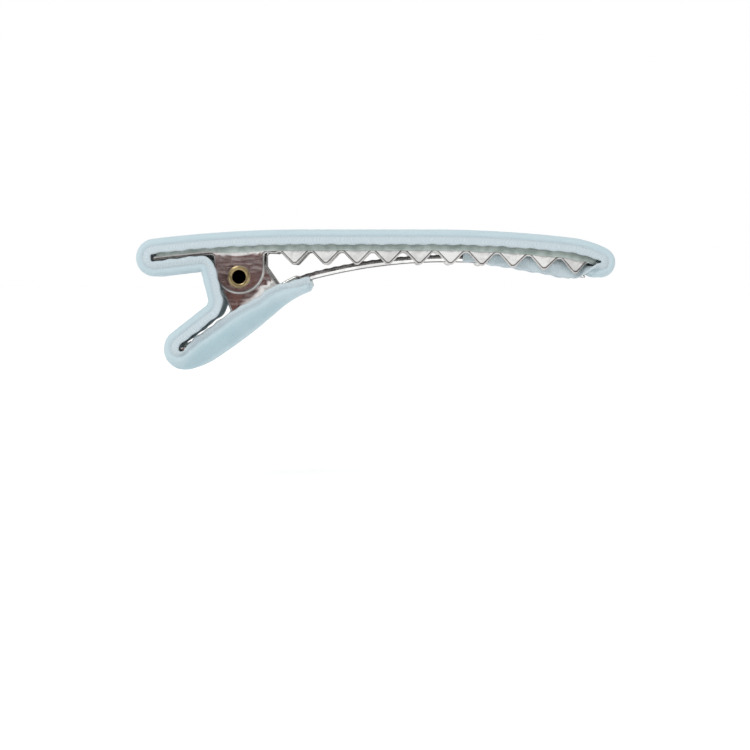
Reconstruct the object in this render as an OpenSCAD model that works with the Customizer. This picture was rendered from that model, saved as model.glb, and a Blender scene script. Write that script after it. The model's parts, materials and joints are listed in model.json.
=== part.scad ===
// Alligator hair clip covered in one velvet ribbon.
// +X runs to the jaw's tip, Y along the hinge rivet and +Z up out of the covered top.
// The origin is the middle of the flat crown on top, where a bow is fastened.
// Side outlines are walked as chains of [length, turn] steps, and a strip is cut
// from a chain between two distances from it, so pieces that touch share their faces.

/* [Upper jaw] */
// Outside width of the upper channel
upper_w = 8.2; // [7:0.1:9]
// Thickness of the sheet metal of both jaws
sheet_t = 0.45; // [0.3:0.05:0.6]
// Length of the flat crown of the top
crown_l = 15; // [10:0.5:18]
// Radius of the top plate behind and in front of the crown
top_r = 150; // [120:5:220]
// Length of the plate behind the crown, along its curve
rear_l = 18.4; // [14:0.05:22]
// Length of the plate in front of the crown, up to the beak
front_l = 17.0; // [14:0.1:22]
// Length of the bend that starts the beak
beak_bend_l = 2.4; // [1.5:0.1:4]
// Angle of the beak below the plate in front of it
beak_bend = 21.5; // [10:0.5:30]
// Length of the straight end of the beak
beak_l = 1.75; // [1:0.05:3]
// Depth of the flange beside the tail, from the plate's top
tail_flange_h = 1.35; // [1:0.05:1.6]

/* [Teeth] */
// Teeth in each row
teeth = 10; // [6:1:10]
// Distance from tooth to tooth
tooth_pitch = 3.77; // [3.2:0.01:4]
// Distance of the first tooth's tip in front of the hinge
tooth_start = 6.75; // [6:0.05:8]
// Depth of the valleys between teeth, from the plate's top
valley_h = 1.55; // [1.3:0.05:2]
// Depth of the teeth's tips, from the plate's top
tooth_h = 3.05; // [2.5:0.05:3.5]
// Rounding of tips and valleys
tooth_round = 0.3; // [0.15:0.05:0.4]

/* [Hinge] */
// Distance of the hinge axis behind the middle of the crown
hinge_back = 15.5; // [14:0.5:17]
// Depth of the hinge axis below the top of the ribbon
hinge_drop = 5.76; // [5.5:0.02:6.2]
// Radius of the round end of the upper ears
upper_ear_r = 3.08; // [2.8:0.02:3.2]
// Height of that round end's centre above the hinge axis
upper_ear_up = 1.0; // [0.6:0.1:1.4]
// Radius of the lower ears round the rivet
lower_ear_r = 2.6; // [2.4:0.05:2.8]
// Outside radius of the rivet's tube
rivet_r = 1.05; // [0.9:0.05:1.2]
// Radius of the rivet's bore
rivet_bore_r = 0.775; // [0.6:0.025:0.8]
// Radius of the rolled rim on the near side
rim_r = 1.375; // [1.3:0.025:1.6]
// Height of the rolled rim
rim_h = 0.42; // [0.3:0.02:0.6]
// Radius of the domed head on the far side
head_r = 1.9; // [1.6:0.05:2.2]
// Height of the domed head
head_h = 0.55; // [0.4:0.05:0.8]
// Metal left between the bore's end and the head
bore_floor = 1.0; // [0.6:0.1:2]
// Radial clearance of the rivet in the upper ears
fixed_gap = 0.02; // [0.01:0.01:0.04]
// Radial clearance of the lower ears on the rivet
running_gap = 0.05; // [0.03:0.01:0.1]
// Gap on each side between the upper and the lower channel
side_gap = 0.15; // [0.1:0.01:0.3]

/* [Lower jaw] */
// Radius of the curled end of the lever
curl_r = 1.3; // [1.1:0.05:1.5]
// Distance of the curl's centre behind the hinge
curl_back = 6.6; // [6:0.1:7.5]
// Depth of the curl's centre below the hinge
curl_down = 8.75; // [8:0.05:9.5]
// Turn of the curl from its upright end to the lever's underside
curl_turn = 98; // [90:1:105]
// Length of the short bend beside the curl
heel_l = 2.6; // [2:0.1:3.5]
// Turn of that short bend
heel_turn = 25; // [15:1:30]
// Length of the lever from the short bend to the knee
lever_l = 9.8; // [8:0.1:12]
// Turn of the lever along that length
lever_turn = 9; // [4:0.5:12]
// Length of the knee in front of the hinge
knee_l = 6.24; // [5:0.02:8]
// Turn of the knee
knee_turn = 27.5; // [22:0.5:32]
// Length of the arched part of the tongue
arch_l = 26.8; // [22:0.1:30]
// Turn of the arched part of the tongue
arch_turn = 24; // [18:0.5:28]
// Length of the straight end of the tongue
tongue_end_l = 6.4; // [4:0.1:7]
// Height of the tongue's lips
lip_h = 0.9; // [0.6:0.05:1]
// Bare sheet between the wide walls and the tongue's lips
lips_gap = 0.3; // [0.1:0.05:0.8]
// Height of the lever's side walls
wall_h = 2.0; // [1.6:0.05:2.4]
// Length of the knee that keeps the lever's full width
wide_knee_l = 4.2; // [3:0.1:5]
// Height of the side walls on the knee
knee_wall_h = 1.15; // [0.9:0.05:1.4]
// Length of the lever under the back part of its ears
ear_foot_l = 4.5; // [3:0.1:5]
// Length of the knee under the front part of its ears
ear_toe_l = 2.0; // [1:0.1:2.5]
// Reach of the lower ears' front shoulder from the hinge axis
ear_reach = 3.35; // [3:0.05:3.5]

/* [Spring] */
// Diameter of the spring's wire
wire_d = 0.55; // [0.4:0.05:0.6]
// Gap between the coil and the rivet's tube
coil_gap = 0.375; // [0.1:0.025:0.5]
// Whole turns of the coil between its legs
coil_turns = 5; // [3:1:6]
// Distance of the end of the leg under the tail behind the hinge
tail_leg_reach = 7; // [5:0.1:8]
// Distance of the end of the other leg from the lever's short bend
lever_leg_foot = 1; // [0.5:0.1:4]
// Gap between the legs' ends and the sheet they press
leg_gap = 0.08; // [0.04:0.01:0.15]

/* [Ribbon] */
// Width of the flat ribbon
ribbon_w = 10; // [9:0.1:12]
// Thickness of the velvet with its pile
ribbon_t = 1.15; // [0.8:0.05:1.3]
// Thickness of the adhesive film
glue_t = 0.1; // [0.05:0.01:0.15]
// Width of each edge that turns in over the metal
edge_w = 0.65; // [0.4:0.05:0.7]
// How far those edges turn in
edge_drop = 0.6; // [0.3:0.05:0.8]
// Space that the ribbon's fold leaves past the beak
tip_slack = 0.4; // [0.2:0.05:0.6]
// Radius of the ribbon's inside where it wraps the tail
tail_wrap_r = 1.05; // [0.9:0.01:1.3]
// Turn of the wrap round the tail
tail_wrap_turn = 180; // [176:1:184]
// Length of ribbon under the tail, up to the seam
tail_under_l = 3.75; // [2:0.05:4]
// Length of ribbon from that seam to the fold behind the hinge
hinge_lead_l = 1.7; // [1.5:0.1:3]
// Radius of the fold under the tail, on the metal's side
upper_fold_r = 1.6; // [1.4:0.05:2]
// Direction of the ribbon behind the hinge
hinge_dir = -76; // [-85:1:-70]
// Radius of the fold on the lever, on the metal's side
lower_fold_r = 2.2; // [1.8:0.05:2.5]
// Direction of the ribbon on the lever's inner side
inner_dir = 218; // [214:1:222]
// Length of ribbon on the lever's inner side, past the seam
inner_l = 3.2; // [2:0.1:4]
// Height that the ribbon's edges stand up beside the lever
leg_h = 1.5; // [1:0.05:2]
// Length of the ribbon's cut end, whose edges lie flat
cut_end_l = 2.2; // [1:0.1:3]
// Thickness of the ribbon's edges where they turn down inside the mouth
mouth_edge_t = 0.65; // [0.5:0.05:0.7]
// How far those edges reach below the tongue
mouth_edge_drop = 0.15; // [0.05:0.05:0.3]
// Length of the tongue's arch that the ribbon's inner end leaves bare
mouth_bare_l = 17.2; // [14:0.1:22]
// Gap between the tongue and the ribbon beside it
tongue_gap = 0.15; // [0.1:0.05:0.2]
// Gap between that ribbon and the tooth rows
row_gap = 0.05; // [0.02:0.01:0.1]
// Length of bare plate between the crown and the ribbon's inner end
mouth_start_l = 3; // [1:0.1:8]
// Height of the ribbon's edges inside the mouth
mouth_edge_h = 1.75; // [1.5:0.05:1.8]
// Length of those edges past the tongue's tip
mouth_nose_l = 2.6; // [2:0.1:3]
// How much they turn up there
mouth_nose_turn = 40; // [20:1:50]

/* [Hidden] */
$fn = 64;
arc_step = 3;
hinge = [-hinge_back, -hinge_drop];
plate_z = -ribbon_t - glue_t;
inner_x = upper_w / 2 - sheet_t;
lower_w = 2 * (inner_x - side_gap);
tongue_w = 2 * (inner_x - row_gap - mouth_edge_t - tongue_gap);
rear_turn = rear_l / top_r * 180 / PI;
front_turn = front_l / top_r * 180 / PI;
velvet = [0.69, 0.81, 0.84];
nickel = [0.80, 0.80, 0.79];
brass = [0.72, 0.58, 0.30];
glue = [0.56, 0.61, 0.58];

// Unit vector along a direction, and the one to its left
function along(a) = [cos(a), sin(a)];
function left_of(a) = [-sin(a), cos(a)];

// A chain's point is [x, z, direction]. This is the point at a share f of one [length, turn] step.
function step_at(p, s, f) =
    s[1] == 0
        ? [p[0] + f * s[0] * cos(p[2]), p[1] + f * s[0] * sin(p[2]), p[2]]
        : let (r = s[0] / (s[1] * PI / 180), a = p[2] + f * s[1])
          [p[0] + r * (sin(a) - sin(p[2])), p[1] + r * (cos(p[2]) - cos(a)), a];

// The points of a chain that starts at p
function chain(p, steps, i = 0) =
    i == len(steps)
        ? [p]
        : let (s = steps[i], n = max(1, ceil(abs(s[1]) / arc_step)))
          concat([p], [for (k = [1 : 1 : n - 1]) step_at(p, s, k / n)],
                 chain(step_at(p, s, 1), steps, i + 1));

// Where a chain ends
function chain_end(p, steps, i = 0) =
    i == len(steps) ? p : chain_end(step_at(p, steps[i], 1), steps, i + 1);

// A chain's points moved to its left by d
function beside(points, d) = [for (p = points) [p[0], p[1]] + d * left_of(p[2])];
function backwards(list) = [for (i = [len(list) - 1 : -1 : 0]) list[i]];

// The flat outline between distances d1 and d2 to the left of a chain
module strip(points, d1, d2) {
    polygon(concat(beside(points, d1), backwards(beside(points, d2))));
}

// A side outline given thickness across the clip, centred on y
module across(w, y = 0) {
    translate([0, y + w / 2, 0]) rotate([90, 0, 0]) linear_extrude(height = w) children();
}

// The same outline on both sides, each w thick with its outer face at y
module both_sides(w, y) {
    across(w, y - w / 2) children();
    across(w, w / 2 - y) children();
}

// Chains of the upper jaw: its plate's top, forwards and backwards from the crown's ends
front_steps = [[front_l, -front_turn], [beak_bend_l, -beak_bend], [beak_l, 0]];
front_start = [crown_l / 2, plate_z, 0];
rear_start = [-crown_l / 2, plate_z, 180];
front = chain(front_start, front_steps);
rear = chain(rear_start, [[rear_l, rear_turn]]);
beak = chain_end(front_start, front_steps);
rear_forwards = [for (p = backwards(rear)) [p[0], p[1], p[2] - 180]];
plate = concat(rear_forwards, front);

// The ribbon on top of the plate runs past the beak by its slack
plate_ribbon = concat(plate, chain(beak, [[tip_slack, 0]]));

// Height of the plate's top at x, over the straight crown and the two large arcs
function sag(d) = d > 0 ? top_r - sqrt(top_r * top_r - d * d) : 0;
function plate_at(x) = plate_z - sag(abs(x) - crown_l / 2);

// Chain of the lower jaw's outer face, from the lever's curled end to the tongue's tip
curl_centre = hinge - [curl_back, curl_down];
curl_start = [curl_centre[0] - curl_r, curl_centre[1], -90];
curl_step = [curl_r * curl_turn * PI / 180, curl_turn];
heel_step = [heel_l, heel_turn];
lever_step = [lever_l, lever_turn];
knee_steps = [[wide_knee_l, -knee_turn * wide_knee_l / knee_l],
              [knee_l - wide_knee_l, -knee_turn * (knee_l - wide_knee_l) / knee_l]];
arch_step_all = [arch_l, -arch_turn];
tongue_end_step = [tongue_end_l, 0];
lever_start = chain_end(curl_start, [curl_step]);
knee_start = chain_end(curl_start, [curl_step, heel_step, lever_step]);
step_point = chain_end(knee_start, [knee_steps[0]]);
arch_start = chain_end(knee_start, knee_steps);
lever = chain(curl_start, [curl_step, heel_step, lever_step, knee_steps[0]]);
lever_straight = chain(lever_start, [heel_step, lever_step, knee_steps[0]]);
tongue = chain(step_point, [knee_steps[1], arch_step_all, tongue_end_step]);
lips_f = lips_gap / knee_steps[1][0];
lips = chain(step_at(step_point, knee_steps[1], lips_f), [(1 - lips_f) * knee_steps[1], arch_step_all,
                                                          tongue_end_step]);

// Chain of the ribbon behind the crown, at the level of the plate's top: round the tail to the seam
wrap_step = [tail_wrap_r * tail_wrap_turn * PI / 180, tail_wrap_turn];
rear_ribbon_steps = [[rear_l, rear_turn], wrap_step, [tail_under_l, 0]];
rear_ribbon = chain(rear_start, rear_ribbon_steps);
tail_seam = chain_end(rear_start, rear_ribbon_steps);

// Where the ribbon on the lever's inner side starts, at the level of the lever's outer face
inner_wrap_turn = 270 - inner_dir;
inner_wrap_start = curl_centre + curl_r * along(inner_dir - 90);
lever_seam_at = inner_wrap_start - inner_l * along(inner_dir);
lever_seam = [lever_seam_at[0], lever_seam_at[1], inner_dir - 360];

// Chain behind the hinge: its two straights are as long as the two seams ask for
function cross2(a, b) = a[0] * b[1] - a[1] * b[0];
function arc_step_to(a, b, r) = [abs(b - a) * r * PI / 180, b - a];
upper_fold = arc_step_to(tail_seam[2] - 360, hinge_dir, upper_fold_r - glue_t);
lower_fold = arc_step_to(hinge_dir, lever_seam[2], lower_fold_r - glue_t);
hinge_start = [tail_seam[0], tail_seam[1], tail_seam[2] - 360];
fold_end = chain_end(hinge_start, [[hinge_lead_l, 0], upper_fold]);
fold_shift = chain_end([0, 0, hinge_dir], [lower_fold]);
fold_rest = [lever_seam[0] - fold_end[0] - fold_shift[0], lever_seam[1] - fold_end[1] - fold_shift[1]];
fold_det = cross2(along(hinge_dir), along(lever_seam[2]));
fold_straight = cross2(fold_rest, along(lever_seam[2])) / fold_det;
fold_tail = cross2(along(hinge_dir), fold_rest) / fold_det;
hinge_ribbon = chain(hinge_start, [[hinge_lead_l, 0], upper_fold, [fold_straight, 0], lower_fold,
                                   [fold_tail, 0]]);

// Chains of the ribbon on the lever: the whole band, and the stretch whose edges stand up
lever_band = chain(lever_seam, concat([[inner_l, 0],
                                       [curl_r * inner_wrap_turn * PI / 180, inner_wrap_turn],
                                       curl_step, heel_step, lever_step], knee_steps));
lever_glue = chain(lever_start, concat([heel_step, lever_step], knee_steps));
legs_f = 1 - cut_end_l / knee_l;
lever_legs = chain(lever_start, [heel_step, lever_step, [legs_f * knee_l, -legs_f * knee_turn]]);

// Chains inside the mouth: the plate above the ribbon's inner end, and the tongue beside it
mouth_f = mouth_start_l / front_l;
mouth_point = step_at(front_start, front_steps[0], mouth_f);
mouth_roof = chain(mouth_point, [[front_l * (1 - mouth_f), -front_turn * (1 - mouth_f)],
                                 front_steps[1], front_steps[2], [tip_slack, 0]]);
bare_f = mouth_bare_l / arch_l;
mouth_edge_start = step_at(arch_start, arch_step_all, bare_f);
mouth_edge = chain(mouth_edge_start, [[arch_l * (1 - bare_f), -arch_turn * (1 - bare_f)],
                                      tongue_end_step, [mouth_nose_l, mouth_nose_turn]]);
under_plate = sheet_t + glue_t;
nose_r = sheet_t / 2 + glue_t;
nose_start = chain_end(front_start, concat(front_steps, [[tip_slack, 0]]));
nose_at = [nose_start[0], nose_start[1]] + glue_t * left_of(nose_start[2]);
nose = chain([nose_at[0], nose_at[1], nose_start[2]], [[PI * nose_r, -180]]);
mouth_w = tongue_w + 2 * (tongue_gap + mouth_edge_t);

// A tooth's rounded point or valley: an arc about [x, z], opening up (1) or down (-1)
flank = atan2(tooth_h - valley_h, tooth_pitch / 2);
function round_at(x, z, up) =
    [for (a = [-flank : flank / 2 : flank])
        [x + tooth_round * sin(a), z + up * tooth_round * (1 - cos(a))]];
function tooth_x(i) = -hinge_back + tooth_start + i * tooth_pitch;
row_start = tooth_x(0) - tooth_pitch / 2;
row_end = tooth_x(teeth - 1) + tooth_pitch / 2;
tooth_line = [for (i = [0 : teeth - 1])
                 each concat(round_at(tooth_x(i), plate_at(tooth_x(i)) - tooth_h, 1),
                             i < teeth - 1
                                 ? round_at(tooth_x(i) + tooth_pitch / 2,
                                            plate_at(tooth_x(i) + tooth_pitch / 2) - valley_h, -1)
                                 : [])];

// The side flange of the upper jaw: tail, ear and tooth row
module upper_flange() {
    polygon(concat(beside(plate, 0),
                   [[row_end, plate_at(row_end) - valley_h]], backwards(tooth_line),
                   [[row_start, plate_at(row_start) - valley_h],
                    [-hinge_back, plate_at(-hinge_back) - tail_flange_h]],
                   [beside([plate[0]], -tail_flange_h)[0]]));
    translate([hinge[0], hinge[1] + upper_ear_up]) circle(r = upper_ear_r);
    translate([hinge[0] - upper_ear_r, hinge[1] + upper_ear_up])
        square([2 * upper_ear_r, plate_at(hinge[0] - upper_ear_r) - hinge[1] - upper_ear_up]);
}

// A round hole along the hinge axis, through both ears
module hinge_hole(r) {
    translate([hinge[0], upper_w, hinge[1]]) rotate([90, 0, 0]) cylinder(r = r, h = 2 * upper_w);
}

module upper_jaw() {
    color(nickel) difference() {
        union() {
            across(upper_w) strip(plate, -sheet_t, 0);
            both_sides(sheet_t, upper_w / 2) upper_flange();
        }
        hinge_hole(rivet_r + fixed_gap);
    }
}

// The lower ear: a disc on the rivet and the sheet that carries it down to the lever.
// Its straight edges leave the disc and its front shoulder at these bearings from the axis.
ear_back_at = 200;
ear_shoulder_at = 25;
ear_top_at = 75;
ear_back = step_at(chain_end(lever_start, [heel_step]), lever_step, 1 - ear_foot_l / lever_l);
ear_front = step_at(knee_start, knee_steps[0], ear_toe_l / wide_knee_l);
// How far a wall starts inside the sheet that it stands on
ear_inset = sheet_t / 3;
module lower_ear() {
    translate(hinge) circle(r = lower_ear_r);
    polygon([hinge + (lower_ear_r - ear_inset) * along(ear_back_at),
             beside([ear_back], wall_h - ear_inset)[0],
             beside([ear_back], ear_inset)[0],
             beside([ear_front], ear_inset)[0],
             beside([ear_front], knee_wall_h - ear_inset)[0],
             hinge + ear_reach * along(ear_shoulder_at),
             hinge + (lower_ear_r - ear_inset) * along(ear_top_at)]);
}

module lower_jaw() {
    color(nickel) difference() {
        union() {
            across(lower_w) strip(lever, 0, sheet_t);
            across(tongue_w) strip(tongue, 0, sheet_t);
            both_sides(sheet_t, lower_w / 2) {
                strip(lever_straight, 0, knee_wall_h);
                lever_wall();
                lower_ear();
            }
            both_sides(sheet_t, tongue_w / 2) strip(lips, ear_inset, lip_h);
        }
        hinge_hole(rivet_r + running_gap);
    }
}

// The lever's side wall, from its curled end to the ear
module lever_wall() {
    foot = chain(curl_start, [curl_step, heel_step, lever_step]);
    top = chain(lever_start, [heel_step, lever_step]);
    polygon(concat(beside(foot, 0), backwards(beside(top, wall_h))));
}

module hinge_rivet() {
    floor_y = upper_w / 2 - bore_floor;
    color(brass) translate([hinge[0], 0, hinge[1]]) rotate([-90, 0, 0]) difference() {
        union() {
            translate([0, 0, -upper_w / 2]) cylinder(r = rivet_r, h = upper_w);
            translate([0, 0, -upper_w / 2]) rotate_extrude() rim_outline();
            translate([0, 0, upper_w / 2]) rotate_extrude() head_outline();
        }
        translate([0, 0, -upper_w]) cylinder(r = rivet_bore_r, h = upper_w + floor_y);
    }
}

// The rolled rim: a round bead between the bore and the rim's radius
module rim_outline() {
    bead = (rim_r - rivet_bore_r) / 2;
    translate([rivet_bore_r, -rim_h / 2]) square([2 * bead, rim_h / 2]);
    intersection() {
        translate([rim_r - bead, -rim_h / 2]) circle(r = bead);
        translate([rivet_bore_r, -rim_h]) square([2 * bead, rim_h]);
    }
}

// The oval head: a cap of a sphere
module head_outline() {
    cap_r = (head_r * head_r + head_h * head_h) / (2 * head_h);
    intersection() {
        translate([0, head_h - cap_r]) circle(r = cap_r);
        square([head_r, head_h]);
    }
}

// Points on a helix round the hinge, then the tube that follows a list of points
function coil_point(a, y) = [hinge[0] + coil_r * cos(a), y, hinge[1] + coil_r * sin(a)];
coil_r = rivet_r + coil_gap + wire_d / 2;
leg_off = sheet_t + leg_gap + wire_d / 2;
tail_leg_x = hinge[0] - tail_leg_reach;
tail_leg_end = [tail_leg_x, plate_at(tail_leg_x) - leg_off] - hinge;
lever_leg_on = step_at(chain_end(lever_start, [heel_step]), lever_step, lever_leg_foot / lever_l);
lever_leg_end = beside([lever_leg_on], leg_off)[0] - hinge;
function bearing(v) = (atan2(v[1], v[0]) + 360) % 360;
tail_leg_at = bearing(tail_leg_end) - acos(coil_r / norm(tail_leg_end));
lever_leg_at = bearing(lever_leg_end) + acos(coil_r / norm(lever_leg_end));
coil_turn = coil_turns * 360 + tail_leg_at + 360 - lever_leg_at;
// Turns lie this many wire diameters apart, and the helix is drawn in steps of this angle
coil_spacing = 1.06;
coil_step_turn = 24;
coil_pitch = wire_d * coil_spacing;
coil_w = coil_turn / 360 * coil_pitch;
coil_steps = ceil(coil_turn / coil_step_turn);
function leg_end(v, y) = [hinge[0] + v[0], y, hinge[1] + v[1]];
spring_line = concat(
    [leg_end(lever_leg_end, -coil_w / 2)],
    [for (k = [0 : coil_steps])
        coil_point(lever_leg_at + coil_turn * k / coil_steps, coil_w * (k / coil_steps - 0.5))],
    [leg_end(tail_leg_end, coil_w / 2)]);

function unit(v) = v / norm(v);
function tangent(line, i) =
    unit(line[min(i + 1, len(line) - 1)] - line[max(i - 1, 0)]);

// A round tube with flat ends along a line that never runs along Y
module wire(line, d, sides = 8) {
    points = [for (i = [0 : len(line) - 1])
                 let (t = tangent(line, i), u = unit(cross(t, [0, 1, 0])), v = cross(t, u))
                 for (k = [0 : sides - 1])
                     line[i] + d / 2 * (cos(360 * k / sides) * u + sin(360 * k / sides) * v)];
    last = (len(line) - 1) * sides;
    faces = concat([[for (k = [0 : sides - 1]) k]],
                   [for (i = [0 : len(line) - 2]) for (k = [0 : sides - 1])
                       let (a = i * sides + k, b = i * sides + (k + 1) % sides)
                       [a, a + sides, b + sides, b]],
                   [[for (k = [sides - 1 : -1 : 0]) last + k]]);
    polyhedron(points, faces, convexity = 8);
}

module torsion_spring() {
    color("silver") wire(spring_line, wire_d);
}

module ribbon_top() {
    color(velvet) {
        across(ribbon_w) strip(plate_ribbon, glue_t, glue_t + ribbon_t);
        across(ribbon_w) strip(rear_ribbon, -glue_t - ribbon_t, -glue_t);
        both_sides(edge_w, ribbon_w / 2) strip(plate_ribbon, glue_t - edge_drop, glue_t + ribbon_t / 2);
        both_sides(edge_w, ribbon_w / 2) strip(rear_ribbon, -glue_t - ribbon_t / 2, edge_drop - glue_t);
        across(ribbon_w) strip(nose, 0, ribbon_t);
        across(mouth_w) strip(mouth_roof, -under_plate - ribbon_t, -under_plate);
        both_sides(mouth_edge_t, mouth_w / 2) strip(mouth_edge, -mouth_edge_drop, mouth_edge_h);
    }
}

module ribbon_hinge() {
    color(velvet) across(ribbon_w) strip(hinge_ribbon, -glue_t - ribbon_t, -glue_t);
}

module ribbon_lever() {
    leg_in = lower_w / 2 + glue_t;
    color(velvet) {
        across(ribbon_w) strip(lever_band, -glue_t - ribbon_t, -glue_t);
        both_sides(ribbon_w / 2 - leg_in, ribbon_w / 2)
            strip(lever_legs, -glue_t - ribbon_t / 2, leg_h);
    }
}

module glue_top() {
    color(glue) across(upper_w) strip(plate, 0, glue_t);
}

module glue_lever() {
    color(glue) across(lower_w) strip(lever_glue, -glue_t, 0);
}

upper_jaw();
lower_jaw();
hinge_rivet();
torsion_spring();
ribbon_top();
ribbon_hinge();
ribbon_lever();
glue_top();
glue_lever();
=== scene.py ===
"""Looks of the ribbon-covered alligator hair clip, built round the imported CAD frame.

Side outlines are walked as chains of (length, turn) steps in the XZ plane, as the CAD walks them.
The ribbon is swept along such a chain: each ring is a closed section of (y, n) points, where n is the
distance to the left of the chain. The stamped metal is lofted through rings that run round its
channel. Sizes are in millimetres unless a name or a comment says otherwise, and meshes in metres.
"""

import json
import math

import bmesh
import bpy
from mathutils import Matrix, Vector, noise


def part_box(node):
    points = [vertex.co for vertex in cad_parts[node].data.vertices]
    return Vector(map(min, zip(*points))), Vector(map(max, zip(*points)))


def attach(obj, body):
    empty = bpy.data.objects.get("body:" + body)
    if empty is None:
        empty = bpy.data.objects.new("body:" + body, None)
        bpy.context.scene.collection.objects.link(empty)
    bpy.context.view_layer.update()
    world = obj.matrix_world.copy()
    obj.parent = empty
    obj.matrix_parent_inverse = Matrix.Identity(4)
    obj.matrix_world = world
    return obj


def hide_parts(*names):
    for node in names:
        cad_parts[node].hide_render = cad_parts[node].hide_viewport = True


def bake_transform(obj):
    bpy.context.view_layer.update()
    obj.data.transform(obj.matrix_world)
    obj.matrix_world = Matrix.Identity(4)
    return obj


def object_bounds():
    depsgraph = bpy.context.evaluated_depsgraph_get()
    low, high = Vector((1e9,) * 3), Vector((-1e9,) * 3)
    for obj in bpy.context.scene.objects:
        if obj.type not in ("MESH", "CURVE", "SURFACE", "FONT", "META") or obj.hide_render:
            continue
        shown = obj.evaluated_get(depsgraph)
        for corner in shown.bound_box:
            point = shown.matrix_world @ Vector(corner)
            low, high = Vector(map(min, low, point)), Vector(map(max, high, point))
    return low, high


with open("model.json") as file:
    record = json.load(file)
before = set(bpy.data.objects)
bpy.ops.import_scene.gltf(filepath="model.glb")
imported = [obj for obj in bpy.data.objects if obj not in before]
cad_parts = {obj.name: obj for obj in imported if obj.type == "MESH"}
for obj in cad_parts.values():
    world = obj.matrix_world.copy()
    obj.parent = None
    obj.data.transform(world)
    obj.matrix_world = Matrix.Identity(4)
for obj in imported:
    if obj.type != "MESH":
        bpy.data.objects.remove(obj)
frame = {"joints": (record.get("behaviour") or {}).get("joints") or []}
cad_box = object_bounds()
MM = 0.001


def box_mm(node):
    low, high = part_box(node)
    return low / MM, high / MM


# ---------------------------------------------------------------- sizes, in millimetres
HINGE = Vector(frame["joints"][0]["pos_m"]) / MM
upper_low, upper_high = box_mm("upper_jaw")
lower_low, lower_high = box_mm("lower_jaw")
rivet_low, rivet_high = box_mm("hinge_rivet")
UPPER_W = upper_high.y - upper_low.y
LOWER_W = lower_high.y - lower_low.y
PLATE_Z = upper_high.z
SHEET_T = 0.45
GLUE_T = 0.1

# Upper jaw
CROWN_L, TOP_R = 15.0, 150.0
REAR_L, FRONT_L = 18.4, 17.0
BEAK_BEND_L, BEAK_BEND, BEAK_L = 2.4, 21.5, 1.75
TAIL_FLANGE_H = 1.5
TEETH, TOOTH_PITCH, TOOTH_START = 10, 3.77, 6.75
VALLEY_H, TOOTH_H, TOOTH_ROUND = 1.55, 3.05, 0.55
UPPER_EAR_R, UPPER_EAR_UP = 3.08, 1.0

# Lower jaw
CURL_R, CURL_BACK, CURL_DOWN, CURL_TURN = 1.3, 6.6, 8.75, 98.0
HEEL_L, HEEL_TURN = 2.6, 25.0
LEVER_L, LEVER_TURN = 9.8, 9.0
KNEE_L, KNEE_TURN, WIDE_KNEE_L = 6.24, 27.5, 4.2
ARCH_L, ARCH_TURN, TONGUE_END_L = 26.8, 24.0, 6.4
TONGUE_W, LIP_H, WALL_H, KNEE_WALL_H = 5.6, 0.9, 2.0, 1.15
EAR_FOOT_L, EAR_TOE_L, EAR_REACH, LOWER_EAR_R = 4.5, 2.0, 3.35, 2.6

# Rivet and spring
RIVET_R, BORE_R, RIM_R, RIM_H, HEAD_R, BORE_FLOOR = 1.05, 0.775, 1.375, 0.42, 1.9, 1.0
WIRE_D, COIL_GAP, COIL_TURNS = 0.55, 0.375, 5
TAIL_LEG_REACH, LEVER_LEG_FOOT, LEG_GAP = 7.0, 1.0, 0.08

# Ribbon
TAIL_WRAP_R, TAIL_WRAP_TURN, TAIL_UNDER_L = 1.05, 180.0, 3.75
HINGE_LEAD_L, UPPER_FOLD_R, LOWER_FOLD_R = 1.65, 1.27, 2.2
HINGE_DIR, INNER_DIR, INNER_L = -76.0, 218.0, 3.2
STITCH, SELVEDGE_ROW = 0.37, 0.36
RING_GAP = STITCH / 4


# ---------------------------------------------------------------- chains in the XZ plane
def along(a):
    return Vector((math.cos(math.radians(a)), math.sin(math.radians(a))))


def left_of(a):
    return along(a + 90)


def step_at(point, step, f):
    """The [x, z, direction] point at a share f of one (length, turn) step."""
    x, z, a = point
    length, turn = step
    if turn == 0:
        move = along(a) * length * f
        return (x + move.x, z + move.y, a)
    r = length / math.radians(turn)
    b = a + f * turn
    ra, rb = math.radians(a), math.radians(b)
    return (x + r * (math.sin(rb) - math.sin(ra)), z + r * (math.cos(ra) - math.cos(rb)), b)


def walk(start, steps, gap=RING_GAP):
    """The points of a chain about gap apart, each with its distance s: (x, z, direction, s)."""
    points, at, s = [(*start, 0.0)], start, 0.0
    for step in steps:
        n = max(1, math.ceil(step[0] / gap))
        points += [(*step_at(at, step, k / n), s + step[0] * k / n) for k in range(1, n + 1)]
        at, s = step_at(at, step, 1), s + step[0]
    return points


def end_of(start, steps):
    for step in steps:
        start = step_at(start, step, 1)
    return start


def reversed_chain(points):
    """The same chain walked the other way."""
    total = points[-1][3]
    return [(x, z, a - 180, total - s) for x, z, a, s in reversed(points)]


def joined(*chains):
    out, s = [], 0.0
    for points in chains:
        first = points[0][3]
        out += [(x, z, a, s + t - first) for x, z, a, t in (points if not out else points[1:])]
        s = out[-1][3]
    return out


def off(point, d):
    n = left_of(point[2])
    return Vector((point[0] + n.x * d, point[1] + n.y * d))


def smooth(t):
    t = min(1.0, max(0.0, t))
    return t * t * (3 - 2 * t)


def mixed(a, b, t):
    return a + (b - a) * t


REAR_TURN = math.degrees(REAR_L / TOP_R)
FRONT_TURN = math.degrees(FRONT_L / TOP_R)
FRONT_START = (CROWN_L / 2, PLATE_Z, 0.0)
REAR_START = (-CROWN_L / 2, PLATE_Z, 180.0)
FRONT_STEPS = [(FRONT_L, -FRONT_TURN), (BEAK_BEND_L, -BEAK_BEND), (BEAK_L, 0)]
REAR_STEPS = [(REAR_L, REAR_TURN)]

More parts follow.
